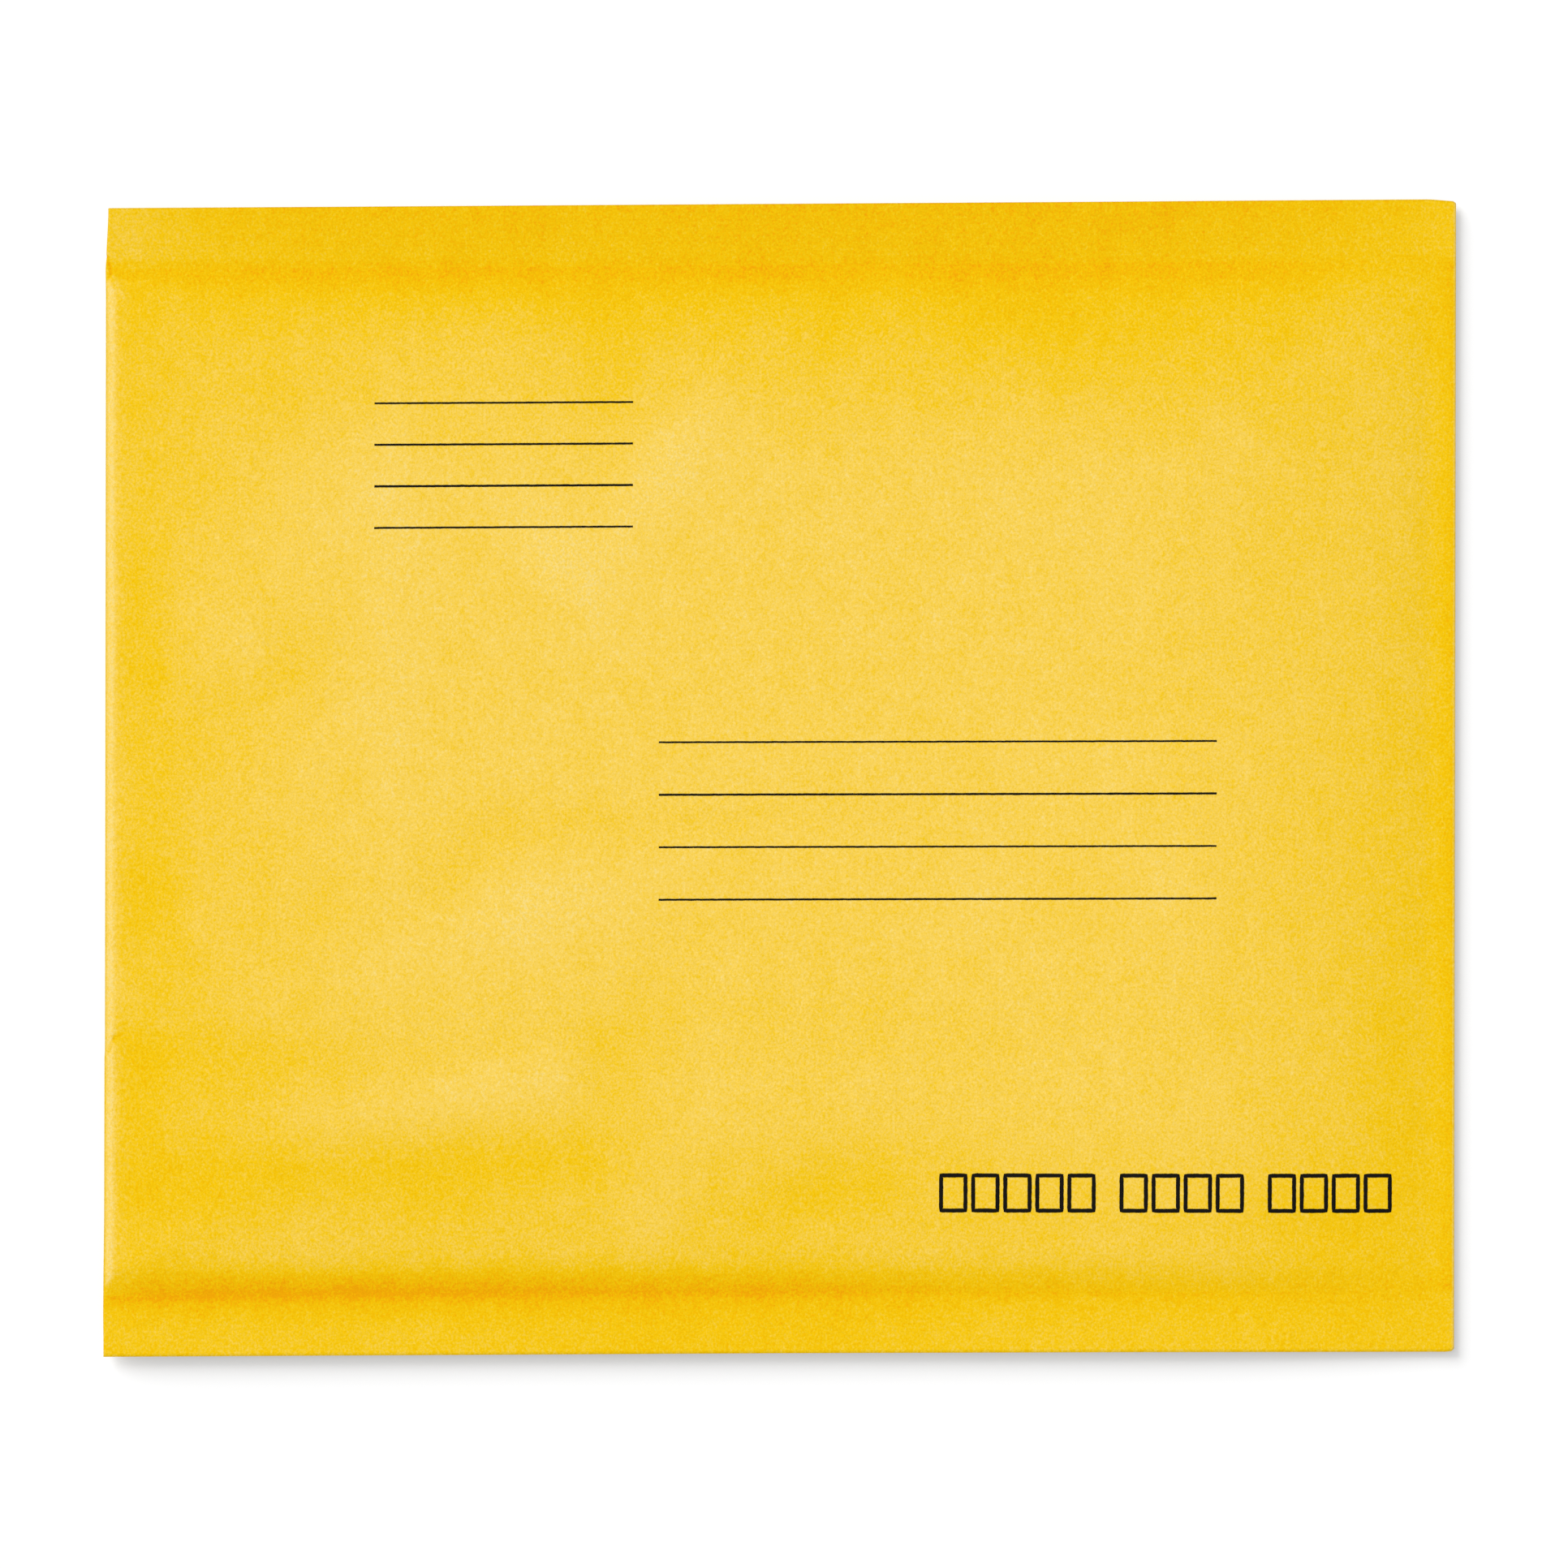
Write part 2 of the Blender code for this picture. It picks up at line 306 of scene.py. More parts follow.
def side_inset(x):
    """The web was cut a little unevenly, and narrows at the fold of the flap."""
    far = by_place(x, (-141, 0.11), (-78, 0.06), (0, -0.06), (74, -0.14), (135.5, -0.38), (141, 0.1))
    near = by_place(
        x, (-141, 0.18), (-78, 0.17), (0, 0.19), (74, 0.01), (132, -0.27), (139, -0.30), (141, -0.1))
    return np.where(rows > 0, far, near) / 1000


def flap_inset(x):
    """The flap's sides draw in towards its free edge, and its corners there are round."""
    along = (FLAP_FOLD - x) / FLAP_LENGTH
    from_edge = np.clip(FLAP_CORNER - (x - FREE_EDGE), 0, None)
    corner = FLAP_CORNER - np.sqrt(np.clip(FLAP_CORNER**2 - from_edge**2, 0, None))
    return FLAP_INSET + FLAP_TAPER * along + corner


def mouth_curl(x):
    """The flap's fold springs open a little, which lifts the whole end."""
    return CURL_MOUTH * np.clip((x - FREE_EDGE) / FLAP_LENGTH, 0, 1) ** 2


def lay(x, z, inset):
    """Points of a stretch of the sheet, one line of them along each row."""
    flat = np.zeros_like(x + rows)
    return np.stack([x + flat, rows * (1 - inset / SIDE) + flat, z + flat], axis=-1)


def arc(count):
    """Half a turn in count steps, without its two ends."""
    return np.linspace(0, math.pi, count + 1)[1:-1, None]


# The sheet's outer side, followed from the flap's free edge over both folds to the mouth
flap_x = stations(
    (FREE_EDGE, 0.0002), (FREE_EDGE + 0.002, 0.0007), (FREE_EDGE + FLAP_CORNER, 0.0022),
    (FLAP_FOLD - FLAP_BEND, 0.0024),
)[:, None]
flap = lay(flap_x, 0.0, flap_inset(flap_x))

turn = arc(FLAP_BEND_STEPS)
bend_x = FLAP_FOLD - FLAP_BEND + FLAP_BEND * np.sin(turn)
bend_inset = mix(FLAP_INSET + FLAP_TAPER * FLAP_BEND / FLAP_LENGTH, side_inset(bend_x), turn / math.pi)
flap_bend = lay(bend_x, FLAP_BEND - FLAP_BEND * np.cos(turn), bend_inset)

# The bottom fold isn't quite straight
uneven = by_place(
    rows, (-119, -0.1), (-116, -0.12), (-111, -0.21), (-104.4, -0.15), (-91, -0.04), (-57.5, -0.03),
    (-56, 0.06), (0, 0.05), (102, 0.02), (107, -0.07), (109.5, 0.05), (112.6, 0.21), (116, 0.41), (119, 0.54))
fold_x = BOTTOM_FOLD + uneven / 1000
roll_radius = (face_height(BOTTOM_FOLD, rows) - underside_height(BOTTOM_FOLD, rows)) / 2
roll_x = fold_x + roll_radius

shares = stations(
    (0.0, 0.0020), (0.02, 0.0050), (0.04, 0.0082), (0.94, 0.0082), (0.97, 0.0040), (0.99, 0.0014),
    (1.0, 0.0012),
)[:, None]
face_x = mix(FLAP_FOLD - FLAP_BEND, roll_x, shares)
face = lay(face_x, face_height(face_x, rows) + billow_height(face_x, rows), side_inset(face_x))

turn = arc(ROLL_STEPS)
back_x = mix(roll_x, MOUTH, stations((0.0, 0.0035), (0.04, 0.0120), (0.96, 0.0120), (1.0, 0.0040))[:, None])
back = lay(back_x, underside_height(back_x, rows), side_inset(back_x))
roll_top, roll_bottom = face[-1, :, 2], back[0, :, 2]
roll_z = (roll_top + roll_bottom) / 2 + (roll_top - roll_bottom) / 2 * np.cos(turn)
roll = lay(roll_x - roll_radius * np.sin(turn), roll_z, side_inset(roll_x))

sheet = np.concatenate([flap, flap_bend, face, roll, back])
first_face = len(flap) + len(flap_bend)
first_back = first_face + len(face) + len(roll)

along = np.gradient(sheet, axis=0)
across = np.gradient(sheet, axis=1)
outward = np.cross(across, along)
outward /= np.linalg.norm(outward, axis=-1, keepdims=True)
creased = np.zeros(sheet.shape[:2])
creased[first_face:first_back] = crease_depth(sheet[..., 0], sheet[..., 1])[first_face:first_back]
sheet -= outward * creased[..., None]

tone = np.full(sheet.shape[:2], BACK_TONE)
tone[first_face:first_back] = face_tone(sheet[..., 0], sheet[..., 1])[first_face:first_back]
tone[:first_face] = FLAP_TONE

sheet[..., 2] += mouth_curl(sheet[..., 0])
sheet[..., 1] += LEAN * sheet[..., 0]

lines, places = sheet.shape[:2]
first = (np.arange(lines - 1)[:, None] * places + np.arange(places - 1)[None, :]).ravel()
quads = np.stack([first, first + 1, first + places + 1, first + places], axis=-1)
mesh = bpy.data.meshes.new("kraft_sheet")
mesh.from_pydata(sheet.reshape(-1, 3).tolist(), [], quads.tolist())
mesh.attributes.new("tone", "FLOAT", "POINT").data.foreach_set("value", tone.ravel())
mesh.shade_smooth()
kraft_sheet = bpy.data.objects.new("kraft_sheet", mesh)
bpy.context.scene.collection.objects.link(kraft_sheet)
ply = kraft_sheet.modifiers.new("Ply", "SOLIDIFY")
ply.thickness = PAPER
ply.offset = -1


def add_node(tree, kind, values=None, links=None, **properties):
    """One node of a tree, with its properties, the values on its inputs and the sockets that feed them."""
    node = tree.nodes.new(kind)
    for name, value in properties.items():
        setattr(node, name, value)
    for name, value in (values or {}).items():
        node.inputs[name].default_value = value
    for name, socket in (links or {}).items():
        tree.links.new(socket, node.inputs[name])
    return node


def from_hex(colour):
    """An sRGB hex value as linear red, green, blue and an alpha of 1."""
    shares = [int(colour[i:i + 2], 16) / 255 for i in (1, 3, 5)]
    return [s / 12.92 if s <= 0.04045 else ((s + 0.055) / 1.055) ** 2.4 for s in shares] + [1.0]


# Kraft paper dyed through in golden yellow and calendered on one side: matt, with fine grain where the
# fibres lie at the surface and cloudier flocs drawn out across the web. The "tone" attribute sets how deep
# the gold is and paints light and shade into it: painted shade on the seam strips, in the valleys, on the
# slopes and in the creases, and painted light on risen billows and on the bottom fold's crown.
kraft = bpy.data.materials.new("dyed_kraft_paper")
kraft.use_nodes = True
tree = kraft.node_tree
shader = tree.nodes["Principled BSDF"]
shader.inputs["IOR"].default_value = 1.5
shader.inputs["Specular IOR Level"].default_value = 0.06

where = add_node(tree, "ShaderNodeTexCoord").outputs["Object"]
TEXTURES = (
    # size in mm, how much longer along Y, detail, strength in tone, seed
    (0.50, 1.2, 2.0, 1.05, 3.1),
    (1.3, 1.4, 2.0, 0.30, 7.7),
    (4.5, 1.6, 1.0, 0.19, 5.2),
    (12.0, 1.9, 1.0, 0.13, 12.3),
    (38.0, 1.3, 1.0, 0.06, 19.9),
)
deepness = add_node(tree, "ShaderNodeAttribute", attribute_name="tone").outputs["Fac"]
noises = []
for size, stretch, detail, strength, seed in TEXTURES:
    drawn_out = add_node(
        tree, "ShaderNodeMapping", {"Scale": (1, 1 / stretch, 1), "Location": (seed, seed, 0)},
        {"Vector": where})
    noise = add_node(
        tree, "ShaderNodeTexNoise", {"Scale": 1000 / size, "Detail": detail, "Roughness": 0.6},
        {"Vector": drawn_out.outputs["Vector"]})
    share = add_node(
        tree, "ShaderNodeMath", {1: strength, 2: -strength / 2}, {0: noise.outputs["Fac"]},
        operation="MULTIPLY_ADD")
    deeper = add_node(tree, "ShaderNodeMath", {}, {0: deepness, 1: share.outputs[0]}, operation="ADD")
    deepness = deeper.outputs[0]
    noises.append(noise.outputs["Fac"])

golds = add_node(tree, "ShaderNodeValToRGB", {}, {"Fac": deepness})
GOLDS = (
    (0.0, "#F8DA7D"), (0.12, "#FAD560"), (0.25, "#F8D155"), (0.40, "#F6CC3B"), (0.50, "#F5C925"),
    (0.60, "#F5C709"), (0.75, "#F3C000"), (0.90, "#F4B500"), (1.0, "#F3A900"),
)
while len(golds.color_ramp.elements) < len(GOLDS):
    golds.color_ramp.elements.new(0.5)
for element, (place, colour) in zip(golds.color_ramp.elements, GOLDS):
    element.position = place
    element.color = from_hex(colour)

# Single fibres at the surface catch more or less light. They are drawn thicker than real ones, to show.
FIBRE_SIZE = 0.3125  # in mm
FIBRE_CONTRAST = 0.24
flecks = add_node(tree, "ShaderNodeTexNoise", {"Scale": 1000 / FIBRE_SIZE, "Detail": 1.0}, {"Vector": where})
glint = add_node(
    tree, "ShaderNodeMath", {1: FIBRE_CONTRAST, 2: 1 - FIBRE_CONTRAST / 2}, {0: flecks.outputs["Fac"]},
    operation="MULTIPLY_ADD")
flecked = add_node(
    tree, "ShaderNodeHueSaturation", {}, {"Color": golds.outputs["Color"], "Value": glint.outputs[0]})
tree.links.new(flecked.outputs["Color"], shader.inputs["Base Color"])

matt = add_node(tree, "ShaderNodeMapRange", {"To Min": 0.90, "To Max": 0.76}, {"Value": noises[1]})
tree.links.new(matt.outputs["Result"], shader.inputs["Roughness"])
fibres = add_node(tree, "ShaderNodeMath", {}, {0: noises[0], 1: noises[1]}, operation="ADD")
relief = add_node(
    tree, "ShaderNodeBump", {"Strength": 0.55, "Distance": 0.00010}, {"Height": fibres.outputs[0]})
tree.links.new(relief.outputs["Normal"], shader.inputs["Normal"])
mesh.materials.append(kraft)

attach(kraft_sheet, "root")
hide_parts("mailer")

# Film edges
# The bubble film is cut with the paper, so its crushed edge shows between the two plies along each side.
# It is clear polyethylene, turned milky by the weld, and stands a little short of the paper unevenly.

FILM_DEPTH = 0.0010
FILM_BACK = 0.0004  # from the paper's cut edge to the film's
FILM_THICKNESS = 0.8 * (SEAM_THICKNESS - 2 * PAPER)  # a little less than the room between the plies
FILM_UNEVENNESS = 0.0004
FILM_FROM_FOLD = 0.0015
FILM_FROM_MOUTH = 0.0005
FILM_POINTS = 240  # along each side
RIPPLES = 420.0  # waves to the metre


def new_tree(name, sockets):
    """A geometry tree with the named inputs, and its input and output nodes."""
    tree = bpy.data.node_groups.new(name, "GeometryNodeTree")
    tree.interface.new_socket("Geometry", in_out="OUTPUT", socket_type="NodeSocketGeometry")
    for socket, kind in sockets.items():
        tree.interface.new_socket(socket, in_out="INPUT", socket_type=kind)
    return tree, tree.nodes.new("NodeGroupInput").outputs, tree.nodes.new("NodeGroupOutput")


def grow(name, tree, settings, guide=None):
    """A plain mesh object made by a geometry tree with its inputs set, from a guide mesh where it has one."""
    piece = bpy.data.objects.new(name, guide or bpy.data.meshes.new(name))
    bpy.context.scene.collection.objects.link(piece)
    maker = piece.modifiers.new(name, "NODES")
    maker.node_group = tree
    identifiers = {i.name: i.identifier for i in tree.interface.items_tree if i.in_out == "INPUT"}
    for socket, value in settings.items():
        maker[identifiers[socket]] = value
    made = bpy.data.meshes.new_from_object(piece.evaluated_get(bpy.context.evaluated_depsgraph_get()))
    piece.modifiers.remove(maker)
    piece.data = made
    made.name = name
    return piece


film_tree, given, result = new_tree("crushed_film_edge", {
    "Path": "NodeSocketGeometry", "Depth": "NodeSocketFloat", "Thickness": "NodeSocketFloat",
    "Unevenness": "NodeSocketFloat", "Material": "NodeSocketMaterial"})
path = add_node(film_tree, "GeometryNodeMeshToCurve", {}, {"Mesh": given["Path"]})
path = add_node(film_tree, "GeometryNodeSetCurveNormal", {}, {"Curve": path.outputs["Curve"]}, mode="Z_UP")
section = add_node(
    film_tree, "GeometryNodeCurvePrimitiveQuadrilateral", {},
    {"Width": given["Depth"], "Height": given["Thickness"]})
strip = add_node(
    film_tree, "GeometryNodeCurveToMesh", {"Fill Caps": True},
    {"Curve": path.outputs["Curve"], "Profile Curve": section.outputs["Curve"]})
ripple = add_node(film_tree, "ShaderNodeTexNoise", {"Scale": RIPPLES, "Detail": 2.0})
centred = add_node(
    film_tree, "ShaderNodeVectorMath", {1: (-0.5, -0.5, -0.5)}, {0: ripple.outputs["Color"]}, operation="ADD")
sideways = add_node(
    film_tree, "ShaderNodeVectorMath", {1: (0.0, 1.0, 0.12)}, {0: centred.outputs[0]}, operation="MULTIPLY")
wander = add_node(
    film_tree, "ShaderNodeVectorMath", {}, {0: sideways.outputs[0], "Scale": given["Unevenness"]},
    operation="SCALE")
uneven = add_node(
    film_tree, "GeometryNodeSetPosition", {},
    {"Geometry": strip.outputs["Mesh"], "Offset": wander.outputs[0]})
clad = add_node(
    film_tree, "GeometryNodeSetMaterial", {},
    {"Geometry": uneven.outputs["Geometry"], "Material": given["Material"]})
film_tree.links.new(clad.outputs["Geometry"], result.inputs["Geometry"])

# Low-density polyethylene film, crushed and half melted: milky, with a soft gloss, in patches of about 1 mm
film = bpy.data.materials.new("welded_polyethylene_film")
film.use_nodes = True
tree = film.node_tree
shader = tree.nodes["Principled BSDF"]
shader.inputs["IOR"].default_value = 1.51
where = add_node(tree, "ShaderNodeTexCoord").outputs["Object"]
melt = add_node(tree, "ShaderNodeTexNoise", {"Scale": 900.0, "Detail": 3.0}, {"Vector": where})
milk = add_node(tree, "ShaderNodeValToRGB", {}, {"Fac": melt.outputs["Fac"]})
milk.color_ramp.elements[0].color = from_hex("#D9D2B8")
milk.color_ramp.elements[1].color = from_hex("#F2EEE0")
gloss = add_node(tree, "ShaderNodeMapRange", {"To Min": 0.25, "To Max": 0.5}, {"Value": melt.outputs["Fac"]})
tree.links.new(milk.outputs["Color"], shader.inputs["Base Color"])
tree.links.new(gloss.outputs["Result"], shader.inputs["Roughness"])

film_x = np.linspace(BOTTOM_FOLD + FILM_FROM_FOLD, MOUTH - FILM_FROM_MOUTH, FILM_POINTS)
for name, hand in (("film_edge_far", 1), ("film_edge_near", -1)):
    film_y = hand * (SIDE - FILM_BACK - FILM_DEPTH / 2) + 0 * film_x
    film_z = seam_height(film_x, film_y) + mouth_curl(film_x)
    guide = bpy.data.meshes.new(name)
    points = np.stack([film_x, film_y + LEAN * film_x, film_z], axis=-1).tolist()
    guide.from_pydata(points, [(i, i + 1) for i in range(len(points) - 1)], [])
    film_edge = grow(name, film_tree, {
        "Depth": FILM_DEPTH, "Thickness": FILM_THICKNESS, "Unevenness": FILM_UNEVENNESS,
        "Material": film}, guide)
    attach(film_edge, "root")

# Ruled lines
# Four short lines for the sender and four long ones for the address, printed on the flat web in black
# flexographic ink before the mailer was folded. Their edges are ragged where the ink met the fibres.

INK_DEPTH = 0.00006  # of the printed mesh
INK_LIFT = 0.00001  # middle of the ink above the paper, so that its top clears the fibres
LINE_STEP = 0.0004  # between the points along a line
LINE_RAGGEDNESS = 0.00014
LINE_BLOT = 0.0007  # size of the ragged spots
DROP_FROM = 0.05  # height from which a print is dropped onto the sheet


def lay_on_sheet(tree, geometry, sheet_object):
    """Nodes that drop a flat print onto the sheet, keeping its own small height."""
    position = add_node(tree, "GeometryNodeInputPosition").outputs[0]
    apart = add_node(tree, "ShaderNodeSeparateXYZ", {}, {0: position})
    above = add_node(
        tree, "ShaderNodeCombineXYZ", {"Z": DROP_FROM}, {"X": apart.outputs["X"], "Y": apart.outputs["Y"]})
    target = add_node(
        tree, "GeometryNodeObjectInfo", {}, {"Object": sheet_object}, transform_space="ORIGINAL")
    hit = add_node(
        tree, "GeometryNodeRaycast", {"Ray Direction": (0, 0, -1), "Ray Length": 2 * DROP_FROM},
        {"Target Geometry": target.outputs["Geometry"], "Source Position": above.outputs[0]})
    ground = add_node(tree, "ShaderNodeSeparateXYZ", {}, {0: hit.outputs["Hit Position"]})
    height = add_node(
        tree, "ShaderNodeMath", {}, {0: ground.outputs["Z"], 1: apart.outputs["Z"]}, operation="ADD")
    landed = add_node(
        tree, "ShaderNodeCombineXYZ", {},
        {"X": apart.outputs["X"], "Y": apart.outputs["Y"], "Z": height.outputs[0]})
    return add_node(
        tree, "GeometryNodeSetPosition", {}, {"Geometry": geometry, "Position": landed.outputs[0]}).outputs[0]


def roughen(tree, geometry, amount, size):
    """Nodes that shift a print's points sideways a little, so that its edges are ragged."""
    blot = add_node(tree, "ShaderNodeTexNoise", {"Scale": 1 / size, "Detail": 1.0})
    centred = add_node(
        tree, "ShaderNodeVectorMath", {1: (-0.5, -0.5, -0.5)}, {0: blot.outputs["Color"]}, operation="ADD")
    level = add_node(
        tree, "ShaderNodeVectorMath", {1: (1, 1, 0)}, {0: centred.outputs[0]}, operation="MULTIPLY")
    shift = add_node(
        tree, "ShaderNodeVectorMath", {}, {0: level.outputs[0], "Scale": amount}, operation="SCALE")
    return add_node(
        tree, "GeometryNodeSetPosition", {}, {"Geometry": geometry, "Offset": shift.outputs[0]}).outputs[0]


line_tree, given, result = new_tree("ruled_lines", {
    "Sheet": "NodeSocketObject", "Count": "NodeSocketInt", "Spacing": "NodeSocketFloat",
    "Length": "NodeSocketFloat", "Thickness": "NodeSocketFloat", "Start": "NodeSocketVector",
    "Tilt": "NodeSocketFloat", "Raggedness": "NodeSocketFloat", "Seed": "NodeSocketInt",
    "Material": "NodeSocketMaterial"})
down = add_node(line_tree, "ShaderNodeMath", {1: -1.0}, {0: given["Spacing"]}, operation="MULTIPLY")
offset = add_node(line_tree, "ShaderNodeCombineXYZ", {}, {"Y": down.outputs[0]})
starts = add_node(
    line_tree, "GeometryNodeMeshLine", {}, {"Count": given["Count"], "Offset": offset.outputs[0]})
size = add_node(
    line_tree, "ShaderNodeCombineXYZ", {"Z": INK_DEPTH}, {"X": given["Length"], "Y": given["Thickness"]})
cells = add_node(line_tree, "ShaderNodeMath", {1: LINE_STEP}, {0: given["Length"]}, operation="DIVIDE")
bar = add_node(
    line_tree, "GeometryNodeMeshCube", {"Vertices Y": 2, "Vertices Z": 2},
    {"Size": size.outputs[0], "Vertices X": cells.outputs[0]})
weight = add_node(
    line_tree, "FunctionNodeRandomValue", {2: 0.85, 3: 1.2}, {"Seed": given["Seed"]}, data_type="FLOAT")
heft = add_node(line_tree, "ShaderNodeCombineXYZ", {"X": 1.0, "Z": 1.0}, {"Y": weight.outputs[1]})
bars = add_node(
    line_tree, "GeometryNodeInstanceOnPoints", {},
    {"Points": starts.outputs["Mesh"], "Instance": bar.outputs["Mesh"], "Scale": heft.outputs[0]})
real = add_node(line_tree, "GeometryNodeRealizeInstances", {}, {"Geometry": bars.outputs["Instances"]})
position = add_node(line_tree, "GeometryNodeInputPosition")
run = add_node(line_tree, "ShaderNodeSeparateXYZ", {}, {0: position.outputs[0]})
climb = add_node(
    line_tree, "ShaderNodeMath", {}, {0: run.outputs["X"], 1: given["Tilt"]}, operation="MULTIPLY")
half = add_node(line_tree, "ShaderNodeMath", {1: 0.5}, {0: given["Length"]}, operation="MULTIPLY")
shift = add_node(line_tree, "ShaderNodeCombineXYZ", {}, {"X": half.outputs[0], "Y": climb.outputs[0]})
onto = add_node(
    line_tree, "ShaderNodeVectorMath", {}, {0: shift.outputs[0], 1: given["Start"]}, operation="ADD")
tilted = add_node(
    line_tree, "GeometryNodeSetPosition", {},
    {"Geometry": real.outputs["Geometry"], "Offset": onto.outputs[0]})
ragged = roughen(line_tree, tilted.outputs["Geometry"], given["Raggedness"], LINE_BLOT)
landed = lay_on_sheet(line_tree, ragged, given["Sheet"])
inked = add_node(
    line_tree, "GeometryNodeSetMaterial", {}, {"Geometry": landed, "Material": given["Material"]})
line_tree.links.new(inked.outputs["Geometry"], result.inputs["Geometry"])

# Black flexographic ink, soaked in: matt, and mottled where fibres of about 0.4 mm show through
ink = bpy.data.materials.new("black_flexographic_ink")
ink.use_nodes = True
tree = ink.node_tree
shader = tree.nodes["Principled BSDF"]
shader.inputs["IOR"].default_value = 1.5
shader.inputs["Specular IOR Level"].default_value = 0.1
shader.inputs["Roughness"].default_value = 0.7
where = add_node(tree, "ShaderNodeTexCoord").outputs["Object"]
soak = add_node(tree, "ShaderNodeTexNoise", {"Scale": 2500.0, "Detail": 2.0}, {"Vector": where})
black = add_node(tree, "ShaderNodeValToRGB", {}, {"Fac": soak.outputs["Fac"]})
black.color_ramp.elements[0].position = 0.35
black.color_ramp.elements[0].color = from_hex("#040302")
black.color_ramp.elements[1].position = 0.80
black.color_ramp.elements[1].color = from_hex("#150F06")
tree.links.new(black.outputs["Color"], shader.inputs["Base Color"])

for name, left, top, count, spacing, length, thickness, tilt, seed in (
    ("sender_lines", -0.0847, 0.0782, 4, 0.00866, 0.0539, 0.00042, 0.0072, 2),
    ("address_lines", -0.0253, 0.00764, 4, 0.01094, 0.1163, 0.00037, 0.0042, 5),
):
    lines_object = grow(name, line_tree, {
        "Sheet": kraft_sheet, "Count": count, "Spacing": spacing, "Length": length,
        "Thickness": thickness, "Start": (left, top + length / 2 * tilt, INK_LIFT), "Tilt": tilt,
        "Raggedness": LINE_RAGGEDNESS, "Seed": seed, "Material": ink})
    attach(lines_object, "root")

# Code boxes
# A row of empty boxes for a parcel code, in groups of five, four and four. It is printed with the lines, in
# the same ink but in a heavier stroke.

CODE_BOXES = 13
SECOND_GROUP, THIRD_GROUP = 5, 9  # number of the first box in each
CODE_LEFT, CODE_RIGHT = 0.0329, 0.1282
CODE_MIDDLE = -0.0862
CODE_HEIGHT = 0.0082
CODE_STROKE = 0.00085
CODE_RAGGEDNESS = 0.0002
CODE_BLOT = 0.0009
GROUP_GAP = 0.0042
BOX_GAP = 0.0016  # between the middles of two boxes' strokes
box_pitch = (CODE_RIGHT - CODE_LEFT - 2 * GROUP_GAP) / CODE_BOXES

box_tree, given, result = new_tree("code_boxes", {
    "Sheet": "NodeSocketObject", "Count": "NodeSocketInt", "Pitch": "NodeSocketFloat",
    "Group Gap": "NodeSocketFloat", "Second Group": "NodeSocketInt", "Third Group": "NodeSocketInt",
    "Width": "NodeSocketFloat", "Height": "NodeSocketFloat", "Stroke": "NodeSocketFloat",
    "Start": "NodeSocketVector", "Tilt": "NodeSocketFloat", "Raggedness": "NodeSocketFloat",
    "Material": "NodeSocketMaterial"})
offset = add_node(box_tree, "ShaderNodeCombineXYZ", {}, {"X": given["Pitch"]})
middles = add_node(
    box_tree, "GeometryNodeMeshLine", {},
    {"Count": given["Count"], "Start Location": given["Start"], "Offset": offset.outputs[0]})
number = add_node(box_tree, "GeometryNodeInputIndex").outputs[0]
in_second, in_third = [
    add_node(
        box_tree, "FunctionNodeCompare", {}, {2: number, 3: given[group]}, data_type="INT",
        operation="GREATER_EQUAL").outputs[0]
    for group in ("Second Group", "Third Group")]
gaps = add_node(box_tree, "ShaderNodeMath", {}, {0: in_second, 1: in_third}, operation="ADD")
apart = add_node(
    box_tree, "ShaderNodeMath", {}, {0: gaps.outputs[0], 1: given["Group Gap"]}, operation="MULTIPLY")
along_row = add_node(box_tree, "ShaderNodeCombineXYZ", {}, {"X": apart.outputs[0]})
grouped = add_node(
    box_tree, "GeometryNodeSetPosition", {},
    {"Geometry": middles.outputs["Mesh"], "Offset": along_row.outputs[0]})
frame_line = add_node(
    box_tree, "GeometryNodeCurvePrimitiveQuadrilateral", {},
    {"Width": given["Width"], "Height": given["Height"]})
finer = add_node(
    box_tree, "GeometryNodeSubdivideCurve", {"Cuts": 11}, {"Curve": frame_line.outputs["Curve"]})
upright = add_node(
    box_tree, "GeometryNodeSetCurveNormal", {}, {"Curve": finer.outputs["Curve"]}, mode="Z_UP")
nib = add_node(
    box_tree, "GeometryNodeCurvePrimitiveQuadrilateral", {"Height": INK_DEPTH}, {"Width": given["Stroke"]})
outline = add_node(
    box_tree, "GeometryNodeCurveToMesh", {},
    {"Curve": upright.outputs["Curve"], "Profile Curve": nib.outputs["Curve"]})
boxes = add_node(
    box_tree, "GeometryNodeInstanceOnPoints", {},
    {"Points": grouped.outputs["Geometry"], "Instance": outline.outputs["Mesh"]})
real = add_node(box_tree, "GeometryNodeRealizeInstances", {}, {"Geometry": boxes.outputs["Instances"]})
position = add_node(box_tree, "GeometryNodeInputPosition")
run = add_node(box_tree, "ShaderNodeSeparateXYZ", {}, {0: position.outputs[0]})
climb = add_node(
    box_tree, "ShaderNodeMath", {}, {0: run.outputs["X"], 1: given["Tilt"]}, operation="MULTIPLY")
lean_up = add_node(box_tree, "ShaderNodeCombineXYZ", {}, {"Y": climb.outputs[0]})
tilted = add_node(
    box_tree, "GeometryNodeSetPosition", {},
    {"Geometry": real.outputs["Geometry"], "Offset": lean_up.outputs[0]})
ragged = roughen(box_tree, tilted.outputs["Geometry"], given["Raggedness"], CODE_BLOT)
landed = lay_on_sheet(box_tree, ragged, given["Sheet"])
inked = add_node(
    box_tree, "GeometryNodeSetMaterial", {}, {"Geometry": landed, "Material": given["Material"]})
box_tree.links.new(inked.outputs["Geometry"], result.inputs["Geometry"])

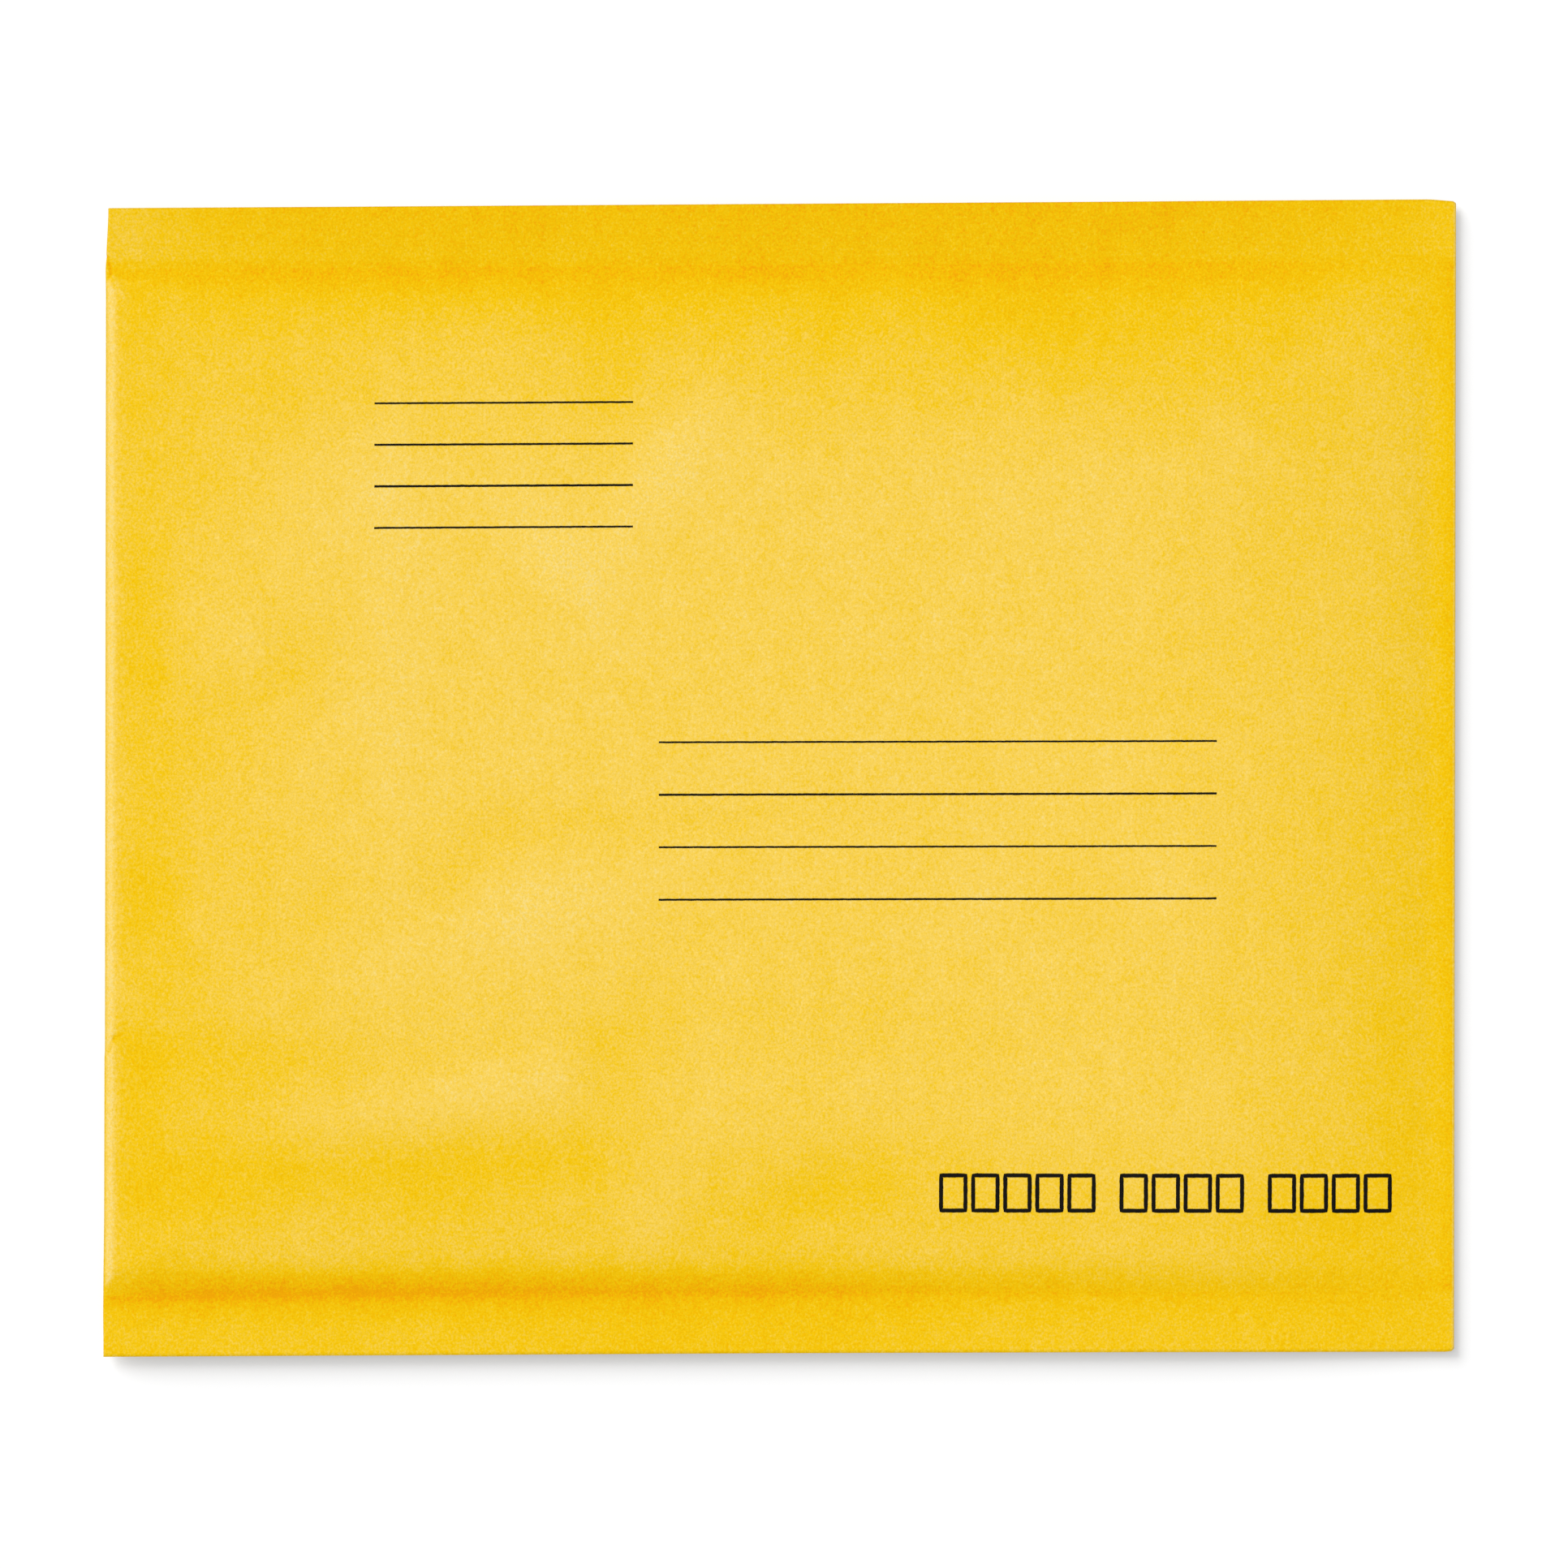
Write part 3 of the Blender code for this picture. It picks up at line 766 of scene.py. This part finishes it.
code_boxes = grow("code_boxes", box_tree, {
    "Sheet": kraft_sheet, "Count": CODE_BOXES, "Pitch": box_pitch, "Group Gap": GROUP_GAP,
    "Second Group": SECOND_GROUP, "Third Group": THIRD_GROUP, "Width": box_pitch - BOX_GAP,
    "Height": CODE_HEIGHT - CODE_STROKE, "Stroke": CODE_STROKE,
    "Start": (CODE_LEFT + box_pitch / 2, CODE_MIDDLE, INK_LIFT), "Tilt": 0.0,
    "Raggedness": CODE_RAGGEDNESS, "Material": ink})
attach(code_boxes, "root")

# Studio
# A sheet of background paper underneath, even light from all round and a soft lamp high at the upper left.
# A lower lamp lights the background alone, for the soft shadow. The camera looks straight down from 2.4 m.

FLOOR_GLOW = 0.39  # brings the lit grey of the background to white, and leaves room for its shadow
SKY = 0.70

bpy.ops.mesh.primitive_plane_add(size=8.0)
floor = bpy.context.object
floor.name = "floor"
paper_white = bpy.data.materials.new("white_background_paper")
paper_white.use_nodes = True
tree = paper_white.node_tree
shader = tree.nodes["Principled BSDF"]
shader.inputs["Base Color"].default_value = from_hex("#9E9E9E")
shader.inputs["Roughness"].default_value = 1.0
shader.inputs["Specular IOR Level"].default_value = 0.0
shader.inputs["Emission Color"].default_value = from_hex("#FFFFFF")
seen = add_node(tree, "ShaderNodeLightPath")
glow = add_node(
    tree, "ShaderNodeMath", {1: FLOOR_GLOW}, {0: seen.outputs["Is Camera Ray"]}, operation="MULTIPLY")
tree.links.new(glow.outputs[0], shader.inputs["Emission Strength"])
floor.data.materials.append(paper_white)
floor.location.z = -0.0001  # just clear of the level back

world = bpy.data.worlds.new("studio")
world.use_nodes = True
bpy.context.scene.world = world
tree = world.node_tree
seen = add_node(tree, "ShaderNodeLightPath")
reflected = add_node(
    tree, "ShaderNodeMath", {}, {0: seen.outputs["Is Glossy Ray"], 1: seen.outputs["Is Transmission Ray"]},
    operation="MAXIMUM")
direct = add_node(
    tree, "ShaderNodeMath", {}, {0: seen.outputs["Is Camera Ray"], 1: reflected.outputs[0]},
    operation="MAXIMUM")
level = add_node(tree, "ShaderNodeMapRange", {"To Min": SKY, "To Max": 1.0}, {"Value": direct.outputs[0]})
tree.links.new(level.outputs["Result"], tree.nodes["Background"].inputs["Strength"])
tree.nodes["Background"].inputs["Color"].default_value = from_hex("#FFFFFF")

# Light given to a level sheet, then in degrees: height, side from +X towards +Y, and width of the lamp
for name, share, height, side, width in (
    ("softbox", 0.305, 58, 142, 40),
    ("floor_softbox", 0.97, 26, 136, 46),
):
    lamp_data = bpy.data.lights.new(name, "SUN")
    lamp_data.energy = share * math.pi / math.sin(math.radians(height))
    lamp_data.angle = math.radians(width)
    lamp = bpy.data.objects.new(name, lamp_data)
    lamp.rotation_euler = (0, math.radians(90 - height), math.radians(side))
    bpy.context.scene.collection.objects.link(lamp)
floor_only = bpy.data.collections.new("floor_only")
floor_only.objects.link(floor)
lamp.light_linking.receiver_collection = floor_only

FRAME_SIDE = 0.3277  # width of the picture at the mailer
FRAME_MIDDLE = (0.00080, -0.00100)
FRAME_TURN = 0.10  # in degrees
LENS, SENSOR = 260.0, 36.0
camera_data = bpy.data.cameras.new("camera")
camera_data.lens = LENS
camera_data.sensor_width = SENSOR
camera = bpy.data.objects.new("camera", camera_data)
camera.location = (*FRAME_MIDDLE, FRAME_SIDE * LENS / SENSOR)
camera.rotation_euler = (0, 0, math.radians(FRAME_TURN))
bpy.context.scene.collection.objects.link(camera)
bpy.context.scene.camera = camera
bpy.context.scene.view_settings.view_transform = "Standard"
